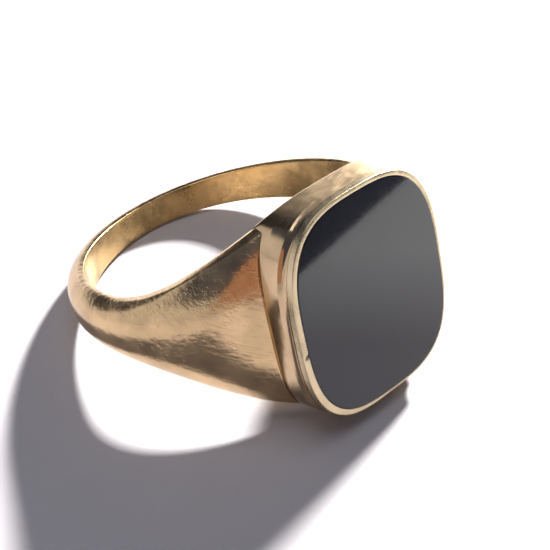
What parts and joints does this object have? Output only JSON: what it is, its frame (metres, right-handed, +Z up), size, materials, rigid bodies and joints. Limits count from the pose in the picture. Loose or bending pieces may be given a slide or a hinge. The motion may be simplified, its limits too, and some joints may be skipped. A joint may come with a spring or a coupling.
{
  "type": "signet ring",
  "caption": "Gold signet ring with tapered shoulders and a cushion-shaped head, set with a flat black onyx tablet in a rubbed-over bezel.",
  "frame": {"origin": "middle of the ring's bounding box, on the surface that it lies on", "axes": "+Z up from that surface; the stone faces -Y and leans back, its table's normal 17 degrees above -Y; +X across the finger"},
  "size_m": [0.0234, 0.0246, 0.0143],
  "materials": {
    "polished_gold": "polished",
    "satin_gold": "satin",
    "onyx": "polished",
    "setting_cement": "matte"
  },
  "bodies": {
    "root": {"shank": "polished_gold", "head_collet": "polished_gold", "bezel_rim": "polished_gold", "onyx_tablet": "onyx", "cement_bed": "setting_cement", "bearer_ledge": "satin_gold", "gallery_plate": "satin_gold"}
  },
  "joints": []
}
